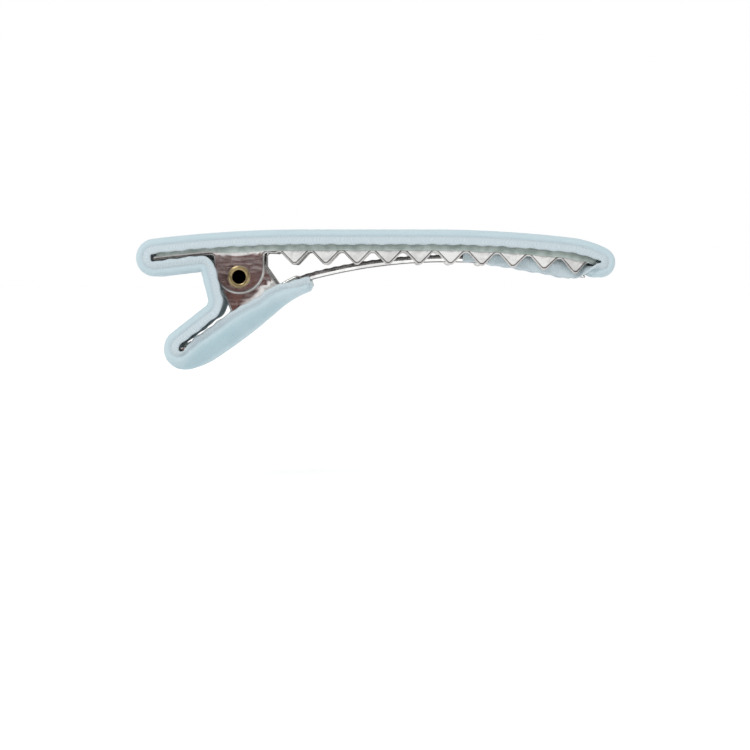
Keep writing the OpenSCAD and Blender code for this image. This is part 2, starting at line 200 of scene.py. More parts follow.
CURL_CENTRE = Vector((HINGE.x - CURL_BACK, HINGE.z - CURL_DOWN))
CURL_START = (CURL_CENTRE.x - CURL_R, CURL_CENTRE.y, -90.0)
CURL_STEP = (math.radians(CURL_TURN) * CURL_R, CURL_TURN)
HEEL_STEP, LEVER_STEP = (HEEL_L, HEEL_TURN), (LEVER_L, LEVER_TURN)
KNEE_STEP = (KNEE_L, -KNEE_TURN)
ARCH_STEP, TONGUE_END_STEP = (ARCH_L, -ARCH_TURN), (TONGUE_END_L, 0)
LEVER_START = end_of(CURL_START, [CURL_STEP])
HEEL_END = end_of(LEVER_START, [HEEL_STEP])
KNEE_START = end_of(HEEL_END, [LEVER_STEP])


def sag(d):
    return TOP_R - math.sqrt(TOP_R * TOP_R - d * d) if d > 0 else 0.0


def plate_at(x):
    """Height of the plate's top over the crown and the two large arcs."""
    return PLATE_Z - sag(abs(x) - CROWN_L / 2)


# ---------------------------------------------------------------- meshes
def new_piece(name, verts, faces, body, materials, face_slots=None, uvs=None):
    """A mesh object in metres from millimetre points, riding on a body."""
    mesh = bpy.data.meshes.new(name)
    mesh.from_pydata([Vector(v) * MM for v in verts], [], faces)
    for m in materials:
        mesh.materials.append(m)
    mesh.polygons.foreach_set("use_smooth", [True] * len(mesh.polygons))
    if face_slots:
        mesh.polygons.foreach_set("material_index", face_slots)
    if uvs:
        layer = mesh.uv_layers.new(name="Cloth")
        layer.data.foreach_set("uv", [c for uv in uvs for c in uv])
    mesh.validate()
    mesh.update()
    piece = bpy.data.objects.new(name, mesh)
    bpy.context.scene.collection.objects.link(piece)
    if body:
        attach(piece, body)
    return piece


# Section of the flat ribbon, from the middle of its back round the edge to the middle of its pile.
# Each row is (distance from the free edge, or minus a share of the half width; height; part).
BACK, EDGE, PILE = 0, 1, 2
SELVEDGE_W, SELVEDGE_T = 0.70, 0.45
MIDDLE = -1e-6  # a share of nothing: the ribbon's middle, told from a distance of 0 by its sign
SCALLOPS = ((0.045, 1.73, 0.0), (0.03, 4.1, 1.0))  # depth, length and phase of each wave of the edge
NAP_DEPTH, NAP_SCALE = 0.018, 1.4
PROFILE = [(MIDDLE, 0.0, BACK), (-0.3, 0.0, BACK), (-0.6, 0.0, BACK), (1.25, 0.0, BACK),
           (1.05, 0.0, BACK), (0.87, 0.0, BACK), (0.69, 0.0, BACK), (0.51, 0.0, BACK),
           (0.33, 0.0, BACK), (0.18, 0.0, EDGE), (0.06, 0.02, EDGE), (0.0, 0.10, EDGE),
           (0.0, 0.22, EDGE), (0.02, 0.33, EDGE), (0.09, 0.40, EDGE), (0.20, 0.43, EDGE),
           (0.33, 0.45, EDGE), (0.47, 0.45, EDGE), (0.60, 0.44, EDGE), (SELVEDGE_W, 0.43, EDGE),
           (0.71, 0.54, PILE), (0.73, 0.70, PILE), (0.77, 0.85, PILE), (0.84, 0.98, PILE),
           (0.94, 1.08, PILE), (1.08, 1.13, PILE), (1.25, 1.15, PILE), (1.6, 1.15, PILE),
           (-0.6, 1.15, PILE), (-0.3, 1.15, PILE), (MIDDLE, 1.15, PILE)]


def shape(half_w, fold_at, fold_r, fold_turn, pile=1.0):
    """A section's form: half width, where each edge folds, the fold's radius and turn, the pile's share."""
    return (half_w, fold_at, fold_r, fold_turn, pile)


TOP_SHAPE = shape(5.0, 3.95, 0.55, 75.0)
LEVER_SHAPE = shape(5.65, 2.7, 0.95, 82.0)
KNEE_SHAPE = shape(5.0, 2.9, 0.8, 80.0)
CUT_SHAPE = shape(4.9, 3.75, 0.6, 68.0)


def mixed_shape(a, b, t):
    return tuple(mixed(p, q, t) for p, q in zip(a, b))


def folded(form, a, b):
    """Where a point a from the ribbon's middle and b above its back comes to lie: (y, n)."""
    _, fold_at, r, turn, _ = form
    limit = math.radians(turn)
    bend = r * abs(limit)
    t = 0.0 if a <= fold_at else limit * min(1.0, (a - fold_at) / bend)
    y, n = min(a, fold_at), 0.0
    if t:
        y += r * math.sin(abs(t))
        n += math.copysign(r * (1 - math.cos(t)), t)
    past = a - fold_at - bend
    if past > 0:
        y += past * math.cos(t)
        n += past * math.sin(t)
    return y + b * math.sin(t), n - b * math.cos(t)


def ribbon_ring(form, s):
    """The closed section at s: (y, n, distance from the free edge, part) for each point."""
    half_w, _, _, _, pile = form
    scallop = sum(depth * math.sin(2 * math.pi * s / length + phase) for depth, length, phase in SCALLOPS)
    half = []
    for e, b, part in PROFILE:
        a = half_w - e if e >= 0 else half_w * -e
        if part == EDGE:
            a += scallop * (1 - max(e, 0) / SELVEDGE_W)
        if b > SELVEDGE_T:
            b = SELVEDGE_T + (b - SELVEDGE_T) * pile
        y, n = folded(form, a, b)
        half.append((y, n - GLUE_T, half_w - a, part))
    mirrored = [(-y, n, e, part) for y, n, e, part in half[1:-1]]
    return half + mirrored[::-1]


def ribbon_mesh(name, path, form_at, body):
    """A length of ribbon swept along a path that keeps the metal on its left, sharp round its cut ends."""
    verts, uv_at = [], []
    for p in path:
        ring = ribbon_ring(form_at(p[3]), p[3])
        for k, (y, n, e, part) in enumerate(ring):
            if part == PILE:
                n -= NAP_DEPTH * noise.noise(Vector((p[3], y, 0)) * NAP_SCALE)
            q = off(p, n)
            verts.append((q.x, y, q.y))
            uv_at.append((p[3], e))
    parts = [part for _, _, _, part in ring]
    m = len(parts)
    faces, slots = [], []
    for i in range(len(path) - 1):
        for k in range(m):
            a, b = i * m + k, i * m + (k + 1) % m
            faces.append((a, a + m, b + m, b))
            slots.append(min(parts[k], parts[(k + 1) % m]))
    last = (len(path) - 1) * m
    faces += [tuple(range(m)), tuple(range(last, last + m))[::-1]]
    slots += [BACK, BACK]
    uvs = [uv_at[v] for face in faces for v in face]
    piece = new_piece(name, verts, faces, body, [ribbon_back, selvedge, velvet], slots, uvs)
    for edge in piece.data.edges:
        a, b = edge.vertices
        edge.use_edge_sharp = (a < m and b < m) or (a >= last and b >= last)
    return piece


# ---------------------------------------------------------------- materials
def srgb(text):
    v = [int(text[i:i + 2], 16) / 255 for i in (1, 3, 5)]
    return (*[c / 12.92 if c <= 0.04045 else ((c + 0.055) / 1.055) ** 2.4 for c in v], 1.0)


class Nodes:
    """Short names for the nodes that these materials use."""

    def __init__(self, name, **values):
        self.material = bpy.data.materials.new(name)
        self.material.use_nodes = True
        self.tree = self.material.node_tree
        self.shader = self.tree.nodes["Principled BSDF"]
        for key, value in values.items():
            self.shader.inputs[key.replace("_", " ")].default_value = value

    def add(self, kind, links=(), **values):
        node = self.tree.nodes.new(kind)
        for key, value in values.items():
            if key in node.inputs:
                node.inputs[key].default_value = value
            else:
                setattr(node, key, value)
        for key, source in dict(links).items():
            self.tree.links.new(source, node.inputs[key])
        return node

    def maths(self, operation, a, b=None):
        node = self.add("ShaderNodeMath", operation=operation)
        for k, value in enumerate((a, b)):
            if isinstance(value, (int, float)):
                node.inputs[k].default_value = value
            elif value is not None:
                self.tree.links.new(value, node.inputs[k])
        return node.outputs[0]

    def ramp(self, source, low, high, to_low=0.0, to_high=1.0):
        limits = {"From Min": low, "From Max": high, "To Min": to_low, "To Max": to_high}
        node = self.add("ShaderNodeMapRange", {"Value": source}, interpolation_type="SMOOTHSTEP", **limits)
        return node.outputs["Result"]

    def noise(self, scale, detail=3.0, vector=None):
        """Noise of about 1/scale metres on the piece's own coordinates."""
        source = vector or self.add("ShaderNodeTexCoord").outputs["Object"]
        node = self.add("ShaderNodeTexNoise", {"Vector": source}, Scale=scale, Detail=detail, Roughness=0.55)
        return node.outputs["Fac"]

    def mix(self, factor, a, b):
        node = self.add("ShaderNodeMix", {"Factor": factor}, data_type="RGBA")
        colour_a, colour_b, result = node.inputs[6], node.inputs[7], node.outputs[2]
        for socket, value in ((colour_a, a), (colour_b, b)):
            if isinstance(value, tuple):
                socket.default_value = value
            else:
                self.tree.links.new(value, socket)
        return result

    def colour(self, source):
        self.tree.links.new(source, self.shader.inputs["Base Color"])

    def rough(self, source):
        self.tree.links.new(source, self.shader.inputs["Roughness"])

    def bump(self, source, distance, strength=1.0, normal=None):
        links = {"Height": source}
        if normal:
            links["Normal"] = normal
        node = self.add("ShaderNodeBump", links, Distance=distance, Strength=strength)
        self.tree.links.new(node.outputs[0], self.shader.inputs["Normal"])
        return node.outputs[0]


def cloth_uv(m):
    """Distance along the ribbon and distance from its free edge, in millimetres."""
    split = m.add("ShaderNodeSeparateXYZ", {"Vector": m.add("ShaderNodeUVMap", uv_map="Cloth").outputs[0]})
    return split.outputs[0], split.outputs[1]


def velvet_material():
    m = Nodes("velvet_pile", Roughness=0.85, Sheen_Weight=0.55, Sheen_Roughness=0.35,
              Sheen_Tint=srgb("#eef6f8"))
    m.shader.inputs["Specular IOR Level"].default_value = 0.15
    _, from_edge = cloth_uv(m)
    nap = m.noise(260, 4)
    fibre = m.noise(9000, 2)
    base = m.mix(m.ramp(nap, 0.36, 0.66), srgb("#9ab3bc"), srgb("#a5bbc3"))
    base = m.mix(m.ramp(fibre, 0.3, 0.75, 0.0, 0.55), base, srgb("#b4c5cb"))
    # Lighter along the pile's outer border, where it bends over: painted sheen.
    painted_sheen_rim = m.ramp(from_edge, 1.7, 0.75, 0.0, 0.6)
    m.colour(m.mix(painted_sheen_rim, base, srgb("#b9c7cc")))
    m.bump(fibre, 0.00006, 0.7, m.bump(nap, 0.00012, 0.5))
    return m.material


def selvedge_material():
    """Woven stitches slanting both ways from the selvedge's middle row, with fuzz over them."""
    m = Nodes("velvet_selvedge", Roughness=0.7, Sheen_Weight=0.3, Sheen_Roughness=0.4,
              Sheen_Tint=srgb("#f2f8fa"))
    m.shader.inputs["Specular IOR Level"].default_value = 0.25
    along_s, from_edge = cloth_uv(m)
    from_row = m.maths("ABSOLUTE", m.maths("SUBTRACT", from_edge, SELVEDGE_ROW))
    slant = m.maths("ADD", m.maths("MULTIPLY", from_row, 0.8), m.maths("MULTIPLY", m.noise(1300, 3), 0.9))
    wave = m.maths("SINE", m.maths("MULTIPLY", m.maths("ADD", along_s, slant), 2 * math.pi / STITCH))
    rows = m.maths("SINE", m.maths("MULTIPLY", from_edge, 4 * math.pi / SELVEDGE_W))
    thread = m.noise(5200, 3)
    weave = m.maths("ADD", m.maths("MULTIPLY", wave, m.maths("ADD", m.maths("MULTIPLY", rows, 0.25), 0.75)),
                    m.maths("MULTIPLY", thread, 2.2))
    base = m.mix(m.ramp(weave, -1.4, 3.4), srgb("#aab8be"), srgb("#bbc6cb"))
    # Darker spots between the stitches along the middle row: painted shade in the pits.
    pit_shade = m.ramp(from_row, 0.02, 0.12, 0.2, 0.0)
    m.colour(m.mix(m.maths("MULTIPLY", pit_shade, m.ramp(wave, 0.2, -0.8)), base, srgb("#a0b0b7")))
    m.bump(weave, 0.00003, 0.25)
    return m.material


def back_material():
    """The ribbed back, its ribs across the ribbon."""
    m = Nodes("velvet_back", Roughness=0.6, Sheen_Weight=0.15, Sheen_Roughness=0.5)
    m.shader.inputs["Specular IOR Level"].default_value = 0.3
    along_s, from_edge = cloth_uv(m)
    rib_l, thread_w = 0.21, 0.16
    rib = m.maths("SINE", m.maths("MULTIPLY", along_s, 2 * math.pi / rib_l))
    cross = m.maths("SINE", m.maths("MULTIPLY", from_edge, 2 * math.pi / thread_w))
    soft = m.noise(700, 4)
    weave = m.maths("ADD", rib, m.maths("MULTIPLY", cross, 0.35))
    base = m.mix(m.ramp(soft, 0.35, 0.65), srgb("#a9bac0"), srgb("#bccbd0"))
    m.colour(m.mix(m.ramp(weave, -1.2, 1.2, 0.0, 0.35), base, srgb("#d0dbdf")))
    m.bump(weave, 0.00002, 0.6)
    return m.material


def metal_material(name, light, dark, roughness, grain):
    """Drawn metal with smudges: grain is the scale of the streaks, which run along X."""
    m = Nodes(name, Metallic=1.0)
    where = m.add("ShaderNodeTexCoord").outputs["Object"]
    mapped = m.add("ShaderNodeMapping", {"Vector": where}, Scale=(0.22, 1.0, 1.0)).outputs[0]
    drawn = m.noise(grain, 4, mapped)
    cloud = m.noise(230, 3)
    smut = m.maths("ADD", m.maths("MULTIPLY", cloud, 0.6), m.maths("MULTIPLY", m.noise(1500, 5), 0.4))
    m.colour(m.mix(m.ramp(smut, 0.38, 0.6), dark, light))
    m.rough(m.ramp(drawn, 0.3, 0.75, roughness * 0.7, roughness * 1.5))
    m.bump(drawn, 0.00002, 0.05, m.bump(cloud, 0.0001, 0.2))
    return m.material


def glue_and_shade_material():
    # Grey-green glue, whose colour on the channel walls is painted shade and reflection from the ribbon's
    # overhang.
    m = Nodes("glue_film_and_painted_shade", Roughness=0.6)
    m.shader.inputs["Specular IOR Level"].default_value = 0.35
    smear = m.noise(900, 5)
    m.colour(m.mix(m.ramp(smear, 0.35, 0.7), srgb("#8f9b96"), srgb("#adb8b4")))
    m.bump(smear, 0.00008, 0.6)
    return m.material


velvet = velvet_material()
selvedge = selvedge_material()
ribbon_back = back_material()
nickel = metal_material("nickel_plate", (0.84, 0.84, 0.83, 1), (0.66, 0.655, 0.65, 1), 0.12, 2600)
cut_edge = metal_material("cut_edge", (0.56, 0.55, 0.54, 1), (0.42, 0.41, 0.40, 1), 0.3, 4200)
# A darker nickel for the strip beside each cut edge: a painted dark reflection of the edge's rounding.
painted_dark_edge = metal_material("painted_dark_edge", (0.22, 0.21, 0.21, 1), (0.12, 0.11, 0.11, 1), 0.35, 4200)
brass = metal_material("rolled_brass", (0.36, 0.28, 0.145, 1), (0.22, 0.165, 0.09, 1), 0.27, 3000)
# Near-black for the inside of the rivet's bore: painted shade in the hole.
bore_shade = metal_material("painted_bore_shade", (0.02, 0.018, 0.016, 1), (0.008, 0.007, 0.007, 1), 0.6, 3000)
steel = metal_material("spring_wire", (0.62, 0.62, 0.63, 1), (0.45, 0.45, 0.46, 1), 0.28, 4000)
glue_and_shade = glue_and_shade_material()
METALS = [nickel, cut_edge, painted_dark_edge]


# ---------------------------------------------------------------- the ribbon's paths
# Forwards over the plate, round the nose and back into the mouth, then turned round
NOSE_R, NOSE_TURN = 0.65, 173.5
NOSE_STEP = (math.radians(NOSE_TURN) * NOSE_R, -NOSE_TURN)
MOUTH_STEPS = [(3.0, 6.0), (4.2, 7.5), (9.3, 3.5)]
TIP_STEP = (4.25, -20.0)
front_path = walk(FRONT_START, [(FRONT_L, -FRONT_TURN), TIP_STEP, NOSE_STEP] + MOUTH_STEPS)
WRAP_STEP = (math.radians(TAIL_WRAP_TURN) * TAIL_WRAP_R, TAIL_WRAP_TURN)
TAIL_STEPS = REAR_STEPS + [WRAP_STEP, (TAIL_UNDER_L, 0)]
crown_path = walk((CROWN_L / 2, PLATE_Z, 180.0), [(CROWN_L, 0)])
top_path = joined(reversed_chain(front_path), crown_path, walk(REAR_START, TAIL_STEPS))
tail_seam = end_of(REAR_START, TAIL_STEPS)

# Inside the mouth the edges hang down between the teeth. How far they reach changes along the path,
# by (from, over a length, by). Then they turn over: from TURN_BEFORE the nose to a share of it.
MOUTH_LEN = sum(length for length, _ in MOUTH_STEPS)
LINING_FOLD_AT, LINING_FOLD_R, LINING_TURN, LINING_PILE = 3.1, 0.3, -88.0, 0.35
LINING_REACH, REACH_CHANGES = 1.6, ((0.0, 12.0, 0.6), (12.5, 4.0, -0.35))
TURN_BEFORE, TURN_SHARE = 2.8, 0.6


def top_form(s):
    """The mouth's lining, the flat nose and then the drooping edges of the top."""
    reach = LINING_REACH + sum(by * smooth((s - start) / length) for start, length, by in REACH_CHANGES)
    half_w = LINING_FOLD_AT + LINING_FOLD_R * (math.pi / 2 - 1) + reach
    lining = shape(half_w, LINING_FOLD_AT, LINING_FOLD_R, LINING_TURN, LINING_PILE)
    turned = smooth((s - MOUTH_LEN + TURN_BEFORE) / (TURN_BEFORE + NOSE_STEP[0] * TURN_SHARE))
    return mixed_shape(lining, TOP_SHAPE, turned)


# From the seam behind the lever round its curled end and along its underside to the cut end
lever_seam_at = CURL_CENTRE + CURL_R * along(INNER_DIR - 90) - INNER_L * along(INNER_DIR)
lever_seam = (lever_seam_at.x, lever_seam_at.y, INNER_DIR - 360)


def arc_between(a, b, r):
    """The step from direction a to direction b at radius r."""
    return (math.radians(abs(b - a)) * r, b - a)


# The stretch behind the hinge: its two folds are given, and its two straights are found so that it
# ends at the seam.
upper_fold = arc_between(tail_seam[2] - 360, HINGE_DIR, UPPER_FOLD_R - GLUE_T)
lower_fold = arc_between(HINGE_DIR, lever_seam[2], LOWER_FOLD_R - GLUE_T)
hinge_start = (tail_seam[0], tail_seam[1], tail_seam[2] - 360)
fold_end = end_of(hinge_start, [(HINGE_LEAD_L, 0), upper_fold])
fold_shift = end_of((0.0, 0.0, HINGE_DIR), [lower_fold])
rest_x = lever_seam[0] - fold_end[0] - fold_shift[0]
rest_z = lever_seam[1] - fold_end[1] - fold_shift[1]
down, inward = along(HINGE_DIR), along(lever_seam[2])
det = down.x * inward.y - down.y * inward.x
straight_l = (rest_x * inward.y - rest_z * inward.x) / det
tail_l = (down.x * rest_z - down.y * rest_x) / det
hinge_path = walk(hinge_start, [(HINGE_LEAD_L, 0), upper_fold, (straight_l, 0), lower_fold, (tail_l, 0)])

inner_step = arc_between(INNER_DIR, 270, CURL_R)
CUT_BACK = 0.6
cut_knee = (KNEE_L - CUT_BACK, -KNEE_TURN * (1 - CUT_BACK / KNEE_L))
lever_path = walk(lever_seam, [(INNER_L, 0), inner_step, CURL_STEP, HEEL_STEP, LEVER_STEP, cut_knee])
LEVER_LEN = lever_path[-1][3]
UNDER_START = INNER_L + inner_step[0]

# Each change of form: to which, from where and over what length. At the cut end the pile is pressed flat.
LEVER_FORMS = ((LEVER_SHAPE, UNDER_START - 0.5, 5.5), (KNEE_SHAPE, LEVER_LEN - 10.5, 5.0),
               (CUT_SHAPE, LEVER_LEN - 5.5, 4.5))
CUT_ROUND_L, CUT_NARROWER, CUT_PILE = 0.9, 0.25, 0.25


def lever_form(s):
    form = TOP_SHAPE
    for to, start, length in LEVER_FORMS:
        form = mixed_shape(form, to, smooth((s - start) / length))
    end = smooth((s - LEVER_LEN + CUT_ROUND_L) / CUT_ROUND_L) ** 2
    return (form[0] - CUT_NARROWER * end, *form[1:4], mixed(form[4], CUT_PILE, end))


ribbon_top = ribbon_mesh("velvet_ribbon_top", top_path, top_form, "clip_body")
ribbon_lever = ribbon_mesh("velvet_ribbon_lever", lever_path, lever_form, "lever")
ribbon_hinge = ribbon_mesh("velvet_ribbon_hinge", hinge_path, lambda s: TOP_SHAPE, None)


# ---------------------------------------------------------------- metal channels
def arc_points(centre, r, start, turn, n):
    """Points with outward normals on an arc about centre, from a bearing through a turn."""
    return [(centre + along(start + turn * k / n) * r, along(start + turn * k / n)) for k in range(n + 1)]


def straight_points(a, b, gap=0.3):
    """Points with normals to the left of a line, its ends included."""
    line = b - a
    n = max(1, math.ceil(line.length / gap))
    normal = Vector((-line.y, line.x)).normalized()
    return [(a + line * k / n, normal) for k in range(n + 1)]


# Points of half a channel's ring, in order: 3 on the web, 4 round the bend, 8 down the wall, 5 round its
# cut edge, 8 up the wall's inside, 2 round the bend's inside and 3 under the web. Step k joins points k
# and k + 1.
EDGE_R = 0.19
# Width of the painted dark reflection beside the cut edge.
PAINTED_DARK_W = 0.17
LEAST_INNER_R = 0.08
BEND_TURN = 22.5
EDGE_TURN = 30
WALL_SHARES = (0.06, 0.13, 0.23, 0.36, 0.55, 0.78, 1.0)
# Steps that take the painted dark reflection beside the cut edge, the cut edge itself, the tongue's foot with
# its painted shade, and the tongue's wall with its painted glints.
PAINTED_DARK_STEP, EDGE_STEPS, PAINTED_SHADE_FOOT_STEPS, PAINTED_GLINT_STEPS = 13, range(14, 20), (2, 3), (9, 10)
PLATING, CUT, PAINTED_DARK = 0, 1, 2  # their places in METALS


def wall_rows(a, b):
    """Shares of the way from a to b for a wall's rows: the last but one leaves room for the painted dark
    reflection along the edge.
    """
    line_at = 1 - min(0.4, PAINTED_DARK_W / (a - b).length)
    return [share * line_at for share in WALL_SHARES] + [1.0]


def rim_part(_, step):
    """Which metal a step of a half ring shows: the plating, its cut edge, or the painted dark reflection
    beside that.
    """
    return PAINTED_DARK if step == PAINTED_DARK_STEP else CUT if step in EDGE_STEPS else PLATING


def channel_half(web, web_n, out_y, bend_r, outline, normal, lean):
    """Half a channel's ring of (x, y, z) points.

    web is a point of the plate with its outward normal web_n, outline a point of the wall's edge with its
    normal, and out_y the channel's half width. lean(point) is how far the wall leans out there.
    """
    t = SHEET_T

    def bent(depth, r, a):
        a = math.radians(a)
        return (web - web_n * (depth + r * (1 - math.cos(a))), out_y - depth - r * (1 - math.sin(a)))

    points = [(web, 0.0), (web, out_y * 0.5), (web, out_y - bend_r)]
    points += [bent(0.0, bend_r, BEND_TURN * k) for k in (1, 2, 3, 4)]
    top, low = web - web_n * bend_r, outline - normal * EDGE_R
    for f in wall_rows(top, low):
        p = top.lerp(low, f)
        points.append((p, out_y + lean(p)))
    middle = out_y - t / 2 + lean(low)
    for k in (1, 2, 3, 4, 5):
        a = math.radians(EDGE_TURN * k)
        points.append((low + normal * EDGE_R * math.sin(a), middle + t / 2 * math.cos(a)))
    inner_r = max(LEAST_INNER_R, bend_r - t)
    inner_top = web - web_n * (t + inner_r)
    for f in wall_rows(inner_top, low)[::-1]:
        p = inner_top.lerp(low, f)
        points.append((p, out_y - t + lean(p)))
    points += [bent(t, inner_r, BEND_TURN * k) for k in (4, 2)]
    under = web - web_n * t
    points += [(under, out_y - t - inner_r), (under, out_y * 0.5), (under, 0.0)]
    return [(p.x, y, p.y) for p, y in points]


def loft(name, halves, body, materials, part_at=lambda i, step: PLATING):
    """A tube through half rings, each mirrored in y. part_at(ring, step) is the material of a step."""
    verts, m = [], 2 * len(halves[0]) - 2
    for half in halves:
        verts += half + [(x, -y, z) for x, y, z in half[1:-1]][::-1]
    faces, slots = [], []
    for i in range(len(halves) - 1):
        for k in range(m):
            a, b = i * m + k, i * m + (k + 1) % m
            faces.append((a, b, b + m, a + m))
            slots.append(part_at(i, min(k, m - 1 - k)))
    last = (len(halves) - 1) * m
    faces += [tuple(range(m))[::-1], tuple(range(last, last + m))]
    slots += [len(materials) - 1] * 2
    piece = new_piece(name, verts, faces, body, materials, slots)
    outwards(piece)
    return piece


def outwards(piece):
    """Turns every face of a closed piece outwards."""
    bm = bmesh.new()
    bm.from_mesh(piece.data)
    bmesh.ops.recalc_face_normals(bm, faces=bm.faces)
    bm.to_mesh(piece.data)
    bm.free()


def bored(piece, r):
    """Cuts a round hole through the piece along the hinge axis."""
    bm = bmesh.new()
    bmesh.ops.create_cone(bm, cap_ends=True, segments=72, radius1=r * MM, radius2=r * MM,
                          depth=2 * UPPER_W * MM)
    bmesh.ops.rotate(bm, verts=bm.verts, matrix=Matrix.Rotation(math.pi / 2, 3, "X"))
    bmesh.ops.translate(bm, verts=bm.verts, vec=Vector((HINGE.x, 0.0, HINGE.z)) * MM)
    mesh = bpy.data.meshes.new("bore")
    bm.to_mesh(mesh)
    bm.free()
    cutter = bpy.data.objects.new("bore", mesh)
    bpy.context.scene.collection.objects.link(cutter)
    cut = piece.modifiers.new(cutter.name, "BOOLEAN")
    cut.operation, cut.object, cut.solver = "DIFFERENCE", cutter, "EXACT"
    made = bpy.data.meshes.new_from_object(piece.evaluated_get(bpy.context.evaluated_depsgraph_get()))
    piece.modifiers.clear()
    piece.data = made
    bpy.data.objects.remove(cutter)
    sharpen(piece, 35)


def sharpen(piece, degrees):
    """Keeps edges bent by more than an angle sharp."""
    mesh = piece.data
    mesh.polygons.foreach_set("use_smooth", [True] * len(mesh.polygons))
    mesh.set_sharp_from_angle(angle=math.radians(degrees))


# Upper jaw: its side outline runs from the tail's end past the ear and the teeth to the beak
UPPER_BEND_R, NOTCH_R = 0.6, 0.35
FLARE, FLARE_FROM, SHOULDER_OUT, LEAN_FADE_L = math.tan(math.radians(20)), 1.2, 0.14, 1.6
LAST_VALLEY_H, BEAK_EDGE_H, BEAK_STEPS = VALLEY_H - 0.35, 0.62, 5
flank = math.degrees(math.atan2(TOOTH_H - VALLEY_H, TOOTH_PITCH / 2))
EAR_CENTRE = Vector((HINGE.x, HINGE.z + UPPER_EAR_UP))
tail = end_of(REAR_START, REAR_STEPS)
front_walk = walk(FRONT_START, FRONT_STEPS, 0.25)


def top_at(x):
    """The plate's top point and its normal over x, the beak included."""
    if x <= FRONT_START[0] + FRONT_L * 0.9:
        past_crown = max(0.0, abs(x) - CROWN_L / 2)
        slope = math.degrees(math.asin(past_crown / TOP_R))
        return Vector((x, plate_at(x))), along(90 - math.copysign(slope, x))
    for p, q in zip(front_walk, front_walk[1:]):
        if p[0] <= x <= q[0] or q is front_walk[-1]:
            t = (x - p[0]) / (q[0] - p[0])
            return Vector((x, mixed(p[1], q[1], t))), along(90 + mixed(p[2], q[2], t))


def tooth_x(i):
    return HINGE.x + TOOTH_START + i * TOOTH_PITCH


def rounded(x, z, up, r, n=4):
    """A tooth's tip (up 1) or a valley (up -1), with outward normals."""
    out = []
    for k in range(-n, n + 1):
        a = math.radians(flank * k / n)
        out.append((Vector((x + r * math.sin(a), z + up * r * (1 - math.cos(a)))),
                    Vector((up * math.sin(a), -math.cos(a)))))
    return out


def below(x, depth):
    return top_at(x)[0].y - depth


ear_l, ear_r = HINGE.x - UPPER_EAR_R, HINGE.x + UPPER_EAR_R
down_normal = Vector((0.0, -1.0))
outline = [(Vector((x, below(x, TAIL_FLANGE_H))), down_normal)
           for x in [mixed(tail[0], ear_l - NOTCH_R, k / 24) for k in range(25)]]
corner_z = below(ear_l, TAIL_FLANGE_H) - NOTCH_R
outline += [(p, -n) for p, n in arc_points(Vector((ear_l - NOTCH_R, corner_z)), NOTCH_R, 90, -90, 5)[1:]]
outline += [(Vector((ear_l, mixed(corner_z, EAR_CENTRE.y, k / 5))), Vector((-1.0, 0.0))) for k in range(1, 5)]
outline += arc_points(EAR_CENTRE, UPPER_EAR_R, 180, 180, 40)
first_valley = below(ear_r, VALLEY_H)
corner_z = first_valley - NOTCH_R
outline += [(Vector((ear_r, mixed(EAR_CENTRE.y, corner_z, k / 5))), Vector((1.0, 0.0))) for k in range(1, 5)]
outline += [(p, -n) for p, n in arc_points(Vector((ear_r + NOTCH_R, corner_z)), NOTCH_R, 180, -90, 5)]
for i in range(TEETH):
    x = tooth_x(i)
    valley = x - TOOTH_PITCH / 2
    outline += rounded(valley, below(valley, VALLEY_H), -1, TOOTH_ROUND)
    outline += rounded(x, below(x, TOOTH_H), 1, TOOTH_ROUND)
row_end = tooth_x(TEETH - 1) + TOOTH_PITCH / 2 - 0.25
outline += rounded(row_end, below(row_end, LAST_VALLEY_H), -1, TOOTH_ROUND)[:5]
beak_end = front_walk[-1][0] - 0.05
for k in range(1, BEAK_STEPS + 1):
    x = mixed(row_end + 0.3, beak_end, k / BEAK_STEPS)
    depth = mixed(LAST_VALLEY_H, BEAK_EDGE_H, k / BEAK_STEPS)
    outline.append((Vector((x, below(x, depth))), down_normal))
filled = []
for p, n in outline:
    if filled and (p - filled[-1][0]).length > 0.45:
        q, m = filled[-1]
        parts = math.ceil((p - q).length / 0.3)
        filled += [(q.lerp(p, k / parts), m.lerp(n, k / parts).normalized()) for k in range(1, parts)]
    filled.append((p, n))


def upper_lean(p):
    """Teeth lean outwards below the bend, but the tail and the ear stay upright."""
    depth = top_at(min(p.x, beak_end))[0].y - p.y
    start = smooth((p.x - ear_r - 0.1) / LEAN_FADE_L)
    end = smooth((beak_end - p.x) / LEAN_FADE_L)
    shoulder = smooth((depth - UPPER_BEND_R) / (FLARE_FROM - UPPER_BEND_R)) * SHOULDER_OUT
    return (shoulder + max(0.0, depth - FLARE_FROM) * FLARE * start) * end


# Where each ring leaves the plate: over its own outline point, but spread evenly over the ear, whose
# outline turns back under itself.
notch_l, notch_r = ear_l - NOTCH_R, ear_r + NOTCH_R
on_ear = [k for k, (p, _) in enumerate(filled)
          if notch_l - 0.01 < p.x < notch_r + 0.01 and p.y < below(p.x, TAIL_FLANGE_H) + 0.001]
first, last = on_ear[0], on_ear[-1]
web_x = [p.x for p, _ in filled]
for k in range(first, last + 1):
    web_x[k] = mixed(notch_l, notch_r, (k - first) / (last - first))
for k in range(1, len(web_x)):
    web_x[k] = max(web_x[k], web_x[k - 1] + 0.002)
halves = []
for (p, n), x in zip(filled, web_x):
    at, normal = top_at(min(x, beak_end + 0.04))
    halves.append(channel_half(at, normal, UPPER_W / 2, UPPER_BEND_R, p, n, upper_lean))
upper_jaw = loft("nickel_upper_jaw", halves, "clip_body", METALS, rim_part)
bored(upper_jaw, RIVET_R + 0.02)
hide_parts("upper_jaw")

